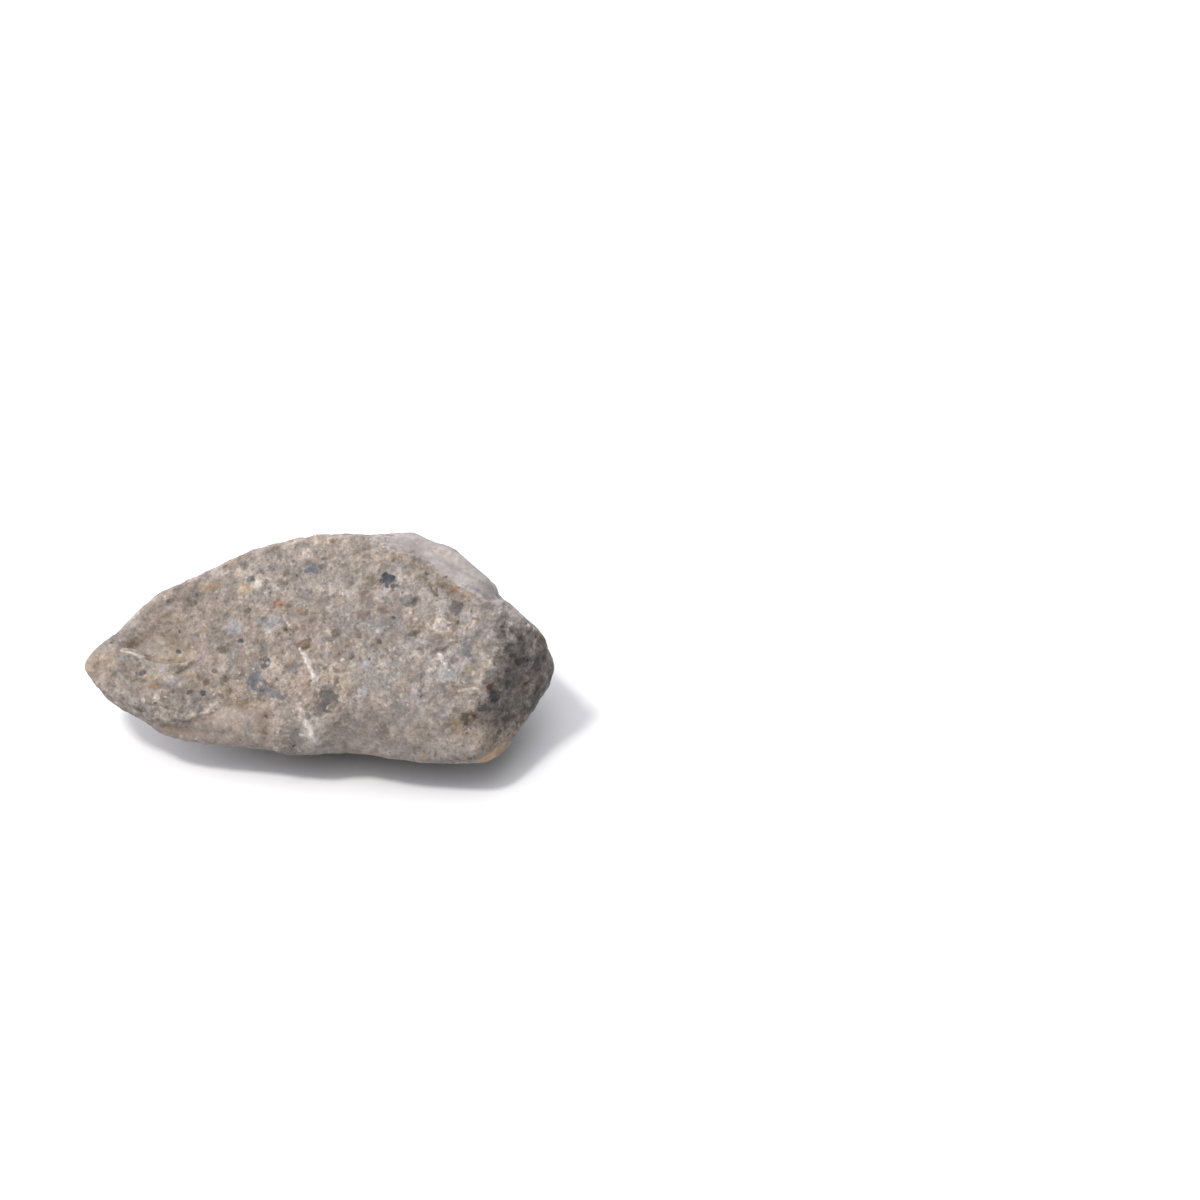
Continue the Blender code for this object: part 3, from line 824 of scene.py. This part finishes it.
    def dot(self, spot, across, colour):
        """A small round grain."""
        near, along, sideways, _ = self.near(spot, across / 2 + 0.15)
        turn = self.dice.uniform(0, math.pi)
        long_way = along * math.cos(turn) + sideways * math.sin(turn)
        short_way = sideways * math.cos(turn) - along * math.sin(turn)
        edge = np.hypot(long_way, short_way * self.dice.uniform(1.0, 1.7)) - across / 2
        self.mark("dot", near, edge, colour, self.dice.uniform(0.7, 0.95), 0.0, across)

    def line(self, pixels, width, colour, strength, rise):
        """A vein, lip, crack or painted highlight along a row of pixels. Its width and strength vary, and its ends
        taper.
        """
        near, distance, where = self.path(pixels, width + 0.2)
        shown = self.facing[near] > 0
        near, distance, where = near[shown], distance[shown], where[shown]
        taper = fade(np.minimum(where, 1 - where) / 0.3 + 0.15)
        uneven = 1 + 0.45 * np.tanh(self.wobbles[0][near] / WOBBLES["wide"][1])
        edge = np.abs(distance) - width / 2 * taper * uneven
        broken = strength * np.clip(0.8 + 0.3 * self.wobbles[1][near] / WOBBLES["fine"][1], 0.4, 1.0)
        self.mark("line", near, edge, colour, broken, rise, width)

    def scatter(self, count):
        """Small fragments on every side. Where the camera looks they are finer, because the named ones are there."""
        names = list(SCATTER_COLOURS)
        odds = np.array([SCATTER_COLOURS[name] for name in names], float)
        smallest, largest = SCATTER_SIZES
        for _ in range(count):
            point = self.dice.randint(len(self.places))
            length = smallest * (largest / smallest) ** (self.dice.random_sample() ** 2.2)
            width = length * self.dice.uniform(0.5, 1.0)
            colour = names[self.dice.choice(len(names), p=odds / odds.sum())]
            strength = self.dice.uniform(0.2, 0.75)
            rise = self.dice.uniform(-0.012, 0.016)
            turn = self.dice.uniform(0, 180)
            spot = Spot(self.places[point], self.normals[point], turn)
            if self.facing[point] > 0.1 and (length > 0.3 or colour == "rust" or self.edges["clast"][point] < 2.0):
                continue
            strength *= 1 - 0.7 * self.calm[point]
            self.fragment(spot, length, width, colour, strength, rise, over=False)

    def store(self):
        """Write the layers to the mesh."""
        self.write("rise", "FLOAT", "value", self.rise)
        self.write("tone", "FLOAT", "value", self.tone)
        self.write("calm", "FLOAT", "value", self.calm)
        self.wash[:, :3] /= np.maximum(self.wash[:, 3:], 1e-4)
        self.write("wash", "FLOAT_COLOR", "color", self.wash)
        for layer in RIM_SOFTNESS:
            self.write(layer + " edge", "FLOAT", "value", np.clip(self.edges[layer], -4, 4))
            self.write(layer + " colour", "FLOAT_COLOR", "color", self.colours[layer])

    def write(self, name, kind, what, values):
        self.mesh.attributes.new(name, kind, "POINT").data.foreach_set(what, values.ravel())


def lay_marks(skin):
    """All the marks, the wide ones first."""
    for pixels, colour, strength, soft in AREAS.values():
        near, cover = skin.area(pixels, soft)
        skin.dye(near, cover * strength, colour)
    for x, y, length, width, turn, colour, strength, soft in ZONES.values():
        near, cover = skin.oval(skin.seen(x, y, turn), length, width, soft)
        skin.dye(near, cover * strength, colour)
    for pixels, loss, soft in TONES_AND_SHADE.values():
        near, cover = skin.area(pixels, soft)
        skin.tone[near] *= 1 - loss * cover
    for pixels, calm, soft in CALM.values():
        near, cover = skin.area(pixels, soft)
        skin.calm[near] = np.maximum(skin.calm[near], calm * cover)
    for x, y, length, width, turn, depth in DENTS.values():
        skin.dent(skin.seen(x, y, turn), length, width, depth)
    for fold in FOLDS.values():
        skin.fold(*fold)
    for x, y, length, width, turn, colour, strength, rise in CLASTS.values():
        skin.fragment(skin.seen(x, y, turn), length, width, colour, strength, rise)
    for x, y, across, colour in DOTS.values():
        skin.dot(skin.seen(x, y), across, colour)
    for pixels, width, colour, strength, rise in LINES.values():
        skin.line(pixels, width, colour, strength, rise)
    skin.scatter(SCATTER_COUNT)
    skin.store()


# Sizes and heights of the worn skin's relief, in millimetres.
RELIEF = {
    "Swell Size": 1.5,
    "Swell Height": 0.030,
    "Lump Size": 0.42,
    "Lump Height": 0.064,
    "Grain Size": 0.16,
    "Grain Height": 0.027,
    "Pit Size": 0.55,
    "Pit Depth": 0.060,
    "Resting Rim": 0.16,
    "Seed": 3.0,
}


def relief_tree(material):
    """Geometry nodes that lift and press the skin: broad swells, worn lumps, grains and pits, and the marks' own rise.
    Calm skin keeps little of it, and all of it fades out towards the surface that the stone rests on."""
    tree = bpy.data.node_groups.new("worn_skin", "GeometryNodeTree")
    tree.interface.new_socket("Geometry", in_out="INPUT", socket_type="NodeSocketGeometry")
    tree.interface.new_socket("Geometry", in_out="OUTPUT", socket_type="NodeSocketGeometry")
    for name in RELIEF:
        tree.interface.new_socket(name, in_out="INPUT", socket_type="NodeSocketFloat")
    graph = Graph(tree)
    given = graph.add("NodeGroupInput").outputs
    place = graph.add("GeometryNodeInputPosition").outputs[0]
    normal = graph.add("GeometryNodeInputNormal").outputs[0]

    def per_mm(size):
        return graph.math("DIVIDE", 1.0, given[size])

    def centred(value):
        return graph.span(value, 0.2, 0.8, -1.0, 1.0)

    def stored(name):
        return graph.add("GeometryNodeInputNamedAttribute", {"Name": name}, data_type="FLOAT").outputs["Attribute"]

    seed = given["Seed"]
    swell = centred(graph.noise(place, per_mm("Swell Size"), 2.0, 0.5, seed))
    grain = centred(graph.noise(place, per_mm("Grain Size"), 3.0, 0.6, seed))
    bend = graph.add("ShaderNodeTexNoise", {"Vector": place, "Scale": 2.2, "Detail": 2.0}).outputs["Color"]
    bent = graph.add("ShaderNodeVectorMath", {0: graph.scaled(bend, 0.35), 1: place}, operation="ADD").outputs[0]
    lumps = graph.add(
        "ShaderNodeTexVoronoi",
        {"Vector": bent, "Scale": per_mm("Lump Size"), "Smoothness": 0.35},
        feature="SMOOTH_F1",
    ).outputs["Distance"]
    patchy = graph.step(graph.noise(place, 0.9, 2.0, 0.5, seed), 0.38, 0.62)
    lump = graph.product(graph.span(lumps, 0.0, 0.75, 0.5, -0.5), graph.span(patchy, 0.0, 1.0, 0.35, 1.0))
    cells = graph.add("ShaderNodeTexVoronoi", {"Vector": bent, "Scale": per_mm("Pit Size")})
    chance = graph.add("FunctionNodeSeparateColor", {0: cells.outputs["Color"]}).outputs[0]
    pit = graph.product(graph.step(cells.outputs["Distance"], 0.26, 0.08), graph.step(chance, 0.62, 0.75))
    worn = graph.math("ADD", graph.product(lump, given["Lump Height"]), graph.product(grain, given["Grain Height"]))
    worn = graph.math("SUBTRACT", worn, graph.product(pit, given["Pit Depth"]))
    worn = graph.product(worn, graph.span(stored("calm"), 0.0, 1.0, 1.0, 0.15))
    swelling = graph.product(swell, given["Swell Height"])
    lift = graph.math("ADD", worn, graph.math("ADD", stored("rise"), swelling))
    height = graph.add("ShaderNodeSeparateXYZ", {0: place}).outputs["Z"]
    free = graph.step(height, 0.02, given["Resting Rim"])
    move = graph.scaled(normal, graph.product(lift, free))
    moved = graph.add("GeometryNodeSetPosition", {"Geometry": given["Geometry"], "Offset": move})
    # The relief's height is kept for the material, which uses it to paint shade into the hollows and pits.
    kept = graph.add(
        "GeometryNodeStoreNamedAttribute",
        {"Geometry": moved.outputs[0], "Name": "worn", "Value": worn},
        data_type="FLOAT",
        domain="POINT",
    )
    whole = graph.add("GeometryNodeRealizeInstances", {"Geometry": kept.outputs[0]})
    painted = graph.add("GeometryNodeSetMaterial", {"Geometry": whole.outputs[0], "Material": material})
    result = graph.add("NodeGroupOutput")
    tree.links.new(painted.outputs[0], result.inputs[0])
    return tree


def relieved(mesh, material):
    """The skin with its relief."""
    thing = new_object("skin", mesh)
    tree = relief_tree(material)
    relief = thing.modifiers.new("worn skin", "NODES")
    relief.node_group = tree
    for item in tree.interface.items_tree:
        if item.name in RELIEF:
            relief[item.identifier] = RELIEF[item.name]
    return settled_mesh(thing)


def colour_steps(graph, value, names):
    """One of several colours, in equal shares of the value from 0 to 1."""
    ramp = graph.add("ShaderNodeValToRGB", {"Fac": value})
    ramp.color_ramp.interpolation = "CONSTANT"
    steps = ramp.color_ramp.elements
    steps[0].color = opaque(names[0])
    steps.remove(steps[1])
    for number, name in enumerate(names[1:], start=1):
        steps.new(number / len(names)).color = opaque(name)
    return ramp.outputs["Color"]


def crumbs(graph, place, under, per_mm, share, smallest, largest, names, amount):
    """Crumbs of rock too small to place one by one, in cells of their own."""
    cells = graph.add("ShaderNodeTexVoronoi", {"Vector": place, "Scale": per_mm}).outputs
    dice = graph.add("ShaderNodeSeparateColor", {0: cells["Color"]}).outputs
    radius = graph.span(dice[1], 1.0 - share, 1.0, smallest, largest)
    inside = graph.step(graph.math("SUBTRACT", radius, cells["Distance"]), -0.10, 0.10)
    there = graph.math("GREATER_THAN", dice[1], 1.0 - share)
    cover = graph.product(inside, there, graph.span(dice[2], 0.0, 1.0, 0.3, 1.0), amount)
    return graph.blend(cover, under, colour_steps(graph, dice[0], names))


# Smudges of the matrix: waves to a millimetre, the noise where a smudge begins and where it is full, its colour and
# strength.
SMUDGES = (
    (0.9, 0.50, 0.64, "warm matrix", 0.5),
    (1.4, 0.52, 0.66, "pale", 0.45),
    (1.7, 0.53, 0.68, "grey", 0.40),
    (2.6, 0.53, 0.66, "tan brown", 0.45),
    (3.3, 0.53, 0.66, "cream", 0.45),
    (3.9, 0.53, 0.66, "slate", 0.40),
    (5.2, 0.54, 0.66, "pink brown", 0.45),
    (6.3, 0.54, 0.66, "cream", 0.40),
    (8.5, 0.56, 0.67, "olive", 0.40),
    (11.0, 0.57, 0.68, "pale", 0.30),
)


def breccia():
    """Grey-beige breccia: a smudged matrix with stains, crumbs, fragments, grains and veins, and painted shade in its
    hollows and shaded parts.
    """
    material = bpy.data.materials.new("breccia")
    material.use_nodes = True
    graph = Graph(material.node_tree)
    shader = material.node_tree.nodes["Principled BSDF"]
    place = graph.scaled(graph.add("ShaderNodeTexCoord").outputs["Object"], 1 / MM)
    bend = graph.add("ShaderNodeTexNoise", {"Vector": place, "Scale": 6.0, "Detail": 2.0}).outputs["Color"]
    bent = graph.add("ShaderNodeVectorMath", {0: graph.scaled(bend, 0.16), 1: place}, operation="ADD").outputs[0]
    ragged = graph.noise(place, 9.0, 3.0, 0.65, 5.0)
    busy = graph.span(graph.attribute("calm")["Fac"], 0.0, 1.0, 1.0, 0.25)

    broad = graph.noise(place, 0.55, 3.0, 0.6, 1.0)
    colour = graph.blend(graph.step(broad, 0.42, 0.60), opaque("warm matrix"), opaque("cool matrix"))
    wash = graph.attribute("wash")
    patchy = graph.span(graph.noise(place, 2.6, 4.0, 0.6, 2.0), 0.3, 0.7, 0.55, 1.25)
    colour = graph.blend(graph.math("MULTIPLY", wash["Alpha"], patchy, clamp=True), colour, wash["Color"])

    for turn, (per_mm, low, high, name, strength) in enumerate(SMUDGES, start=11):
        smudge = graph.step(graph.noise(bent, per_mm, 4.0, 0.6, turn), low, high)
        colour = graph.blend(graph.product(smudge, busy, strength), colour, opaque(name))

    speckle = ("pale", "grey", "cream", "pink brown", "slate", "pale", "olive", "warm matrix", "light blue")
    specks = ("dark olive", "cream", "brown", "pale", "dark slate", "grey", "white", "olive", "brown", "cream")
    pepper = ("dark olive", "brown", "dark slate", "olive")
    clustered = graph.step(graph.noise(place, 1.1, 2.0, 0.5, 8.0), 0.42, 0.60)
    colour = crumbs(graph, bent, colour, 3.0, 0.5, 0.15, 0.42, speckle, graph.product(busy, 0.5))
    colour = crumbs(graph, bent, colour, 6.5, 0.5, 0.15, 0.45, speckle, graph.product(busy, 0.6))
    colour = crumbs(graph, bent, colour, 10.0, 0.42, 0.15, 0.45, specks, graph.product(busy, 0.7))
    colour = crumbs(graph, bent, colour, 8.0, 0.38, 0.12, 0.38, pepper, graph.product(busy, clustered, 1.0))

    uneven = graph.span(graph.noise(place, 6.0, 3.0, 0.6, 9.0), 0.35, 0.65, 0.85, 1.2)
    for layer in RIM_SOFTNESS:
        rim = graph.math("ADD", graph.attribute(layer + " edge")["Fac"], graph.span(ragged, 0.3, 0.7, -1.0, 1.0))
        paint = graph.attribute(layer + " colour")
        cover = graph.math("MULTIPLY", graph.product(graph.step(rim, 1.0, -0.8), paint["Alpha"]), uneven, clamp=True)
        colour = graph.blend(cover, colour, paint["Color"])

    patches = graph.span(graph.noise(bent, 2.6, 3.0, 0.6, 12.0), 0.36, 0.64, 0.62, 1.28)
    darkness = graph.product(graph.math("SUBTRACT", 1.0, graph.attribute("tone")["Fac"]), patches)
    shade = graph.math("SUBTRACT", 1.0, darkness, clamp=True)
    contrast = graph.span(darkness, 0.0, 0.6, 0.0, 0.7)
    salt = graph.span(graph.noise(bent, 6.0, 3.0, 0.7, 10.0), 0.36, 0.64, -1.0, 1.0)
    fine = graph.product(
        graph.span(graph.noise(bent, 4.0, 3.0, 0.6, 4.0), 0.35, 0.65, 0.76, 1.24),
        graph.span(graph.noise(place, 12.0, 2.0, 0.6, 6.0), 0.35, 0.65, 0.80, 1.20),
    )
    # The colour also takes painted shade: darker in the relief's hollows and pits and a little lighter on its lumps,
    # and darker where the tone layer is painted darker, painted shade included.
    mottle = graph.product(
        graph.math("MULTIPLY_ADD", graph.math("SUBTRACT", fine, 1.0), busy, 1.0),
        graph.math("ADD", 1.0, graph.product(salt, contrast)),
        graph.span(graph.noise(place, 1.8, 2.0, 0.5, 3.0), 0.35, 0.65, 0.90, 1.10),
        graph.span(graph.attribute("worn")["Fac"], -0.04, 0.025, 0.76, 1.08),
        shade,
    )
    graph.feed(shader.inputs["Base Color"], graph.scaled(colour, mottle))
    shader.inputs["Specular IOR Level"].default_value = 0.35
    graph.feed(shader.inputs["Roughness"], graph.span(ragged, 0.3, 0.7, 0.50, 0.72))
    tooth = graph.math("ADD", graph.noise(place, 10.0, 4.0, 0.7, 7.0), graph.product(graph.noise(place, 30.0), 0.4))
    height = graph.product(tooth, busy)
    bump = graph.add("ShaderNodeBump", {"Strength": 1.0, "Distance": 0.035 * MM, "Height": height})
    graph.feed(shader.inputs["Normal"], bump.outputs[0])
    return material


def finish_stone(mesh):
    """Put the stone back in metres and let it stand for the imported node."""
    mesh.transform(Matrix.Scale(MM, 4))
    mesh.name = "stone"
    mesh.shade_smooth()
    stone = new_object("stone", mesh)
    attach(stone, "root")
    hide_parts(NODE)
    return stone


def floor():
    """A plain pale surface to rest on."""
    bm = bmesh.new()
    bmesh.ops.create_grid(bm, x_segments=1, y_segments=1, size=2.0)
    mesh = bpy.data.meshes.new("floor")
    bm.to_mesh(mesh)
    bm.free()
    thing = new_object("floor", mesh)
    material = bpy.data.materials.new("pale_floor")
    material.use_nodes = True
    shader = material.node_tree.nodes["Principled BSDF"]
    shader.inputs["Base Color"].default_value = (0.62, 0.62, 0.62, 1.0)
    shader.inputs["Roughness"].default_value = 0.8
    mesh.materials.append(material)


# The light: a soft key from the upper left, and a dark sky with wide soft lights in it, each given by its azimuth and
# elevation in degrees and its strength.
KEY_AZIMUTH = -153.0
KEY_ELEVATION = 65.5
KEY_STRENGTH = 2.3
KEY_COLOUR = (1.0, 0.975, 0.93)
KEY_ANGLE = 9.0
SKY_COLOUR = (0.965, 0.97, 1.03)
SKY_LIGHTS = {
    "overhead": (0, 90, 2.5),
    "front left": (-120, 55, 1.3),
    "left, low": (180, 20, 4.6),
    "back, low": (90, 20, 3.6),
    "back left, low": (135, 20, 1.7),
    "right, low": (0, 20, 0.9),
}
SKY_LIGHT_RADIUS = 38.0
SKY_GLOW = 0.03


def direction(azimuth, elevation):
    """Unit vector that points out at an azimuth and an elevation in degrees."""
    turn = math.radians(azimuth)
    rise = math.radians(elevation)
    return Vector((math.cos(rise) * math.cos(turn), math.cos(rise) * math.sin(turn), math.sin(rise)))


def key_light():
    key = bpy.data.lights.new("key", "SUN")
    key.energy = KEY_STRENGTH
    key.color = KEY_COLOUR
    key.angle = math.radians(KEY_ANGLE)
    seat = bpy.data.objects.new("key", key)
    seat.rotation_euler = direction(KEY_AZIMUTH, KEY_ELEVATION).to_track_quat("Z", "Y").to_euler()
    bpy.context.scene.collection.objects.link(seat)


def sky():
    """A faint glow from everywhere, and the wide soft lights."""
    world = bpy.data.worlds.new("sky")
    world.use_nodes = True
    graph = Graph(world.node_tree)
    way = graph.add("ShaderNodeTexCoord").outputs["Generated"]
    level = SKY_GLOW
    for azimuth, elevation, strength in SKY_LIGHTS.values():
        middle = direction(azimuth, elevation)
        close = graph.add("ShaderNodeVectorMath", {0: way, 1: middle}, operation="DOT_PRODUCT").outputs["Value"]
        light = graph.product(graph.step(close, math.cos(math.radians(SKY_LIGHT_RADIUS)), 1.0), strength)
        level = graph.math("ADD", level, light)
    background = world.node_tree.nodes["Background"]
    background.inputs["Color"].default_value = (*SKY_COLOUR, 1.0)
    graph.feed(background.inputs["Strength"], level)
    bpy.context.scene.world = world
    bpy.context.scene.view_settings.view_transform = "Standard"


camera()
skin = Skin(fine_skin())
lay_marks(skin)
finish_stone(relieved(skin.mesh, breccia()))
floor()
key_light()
sky()
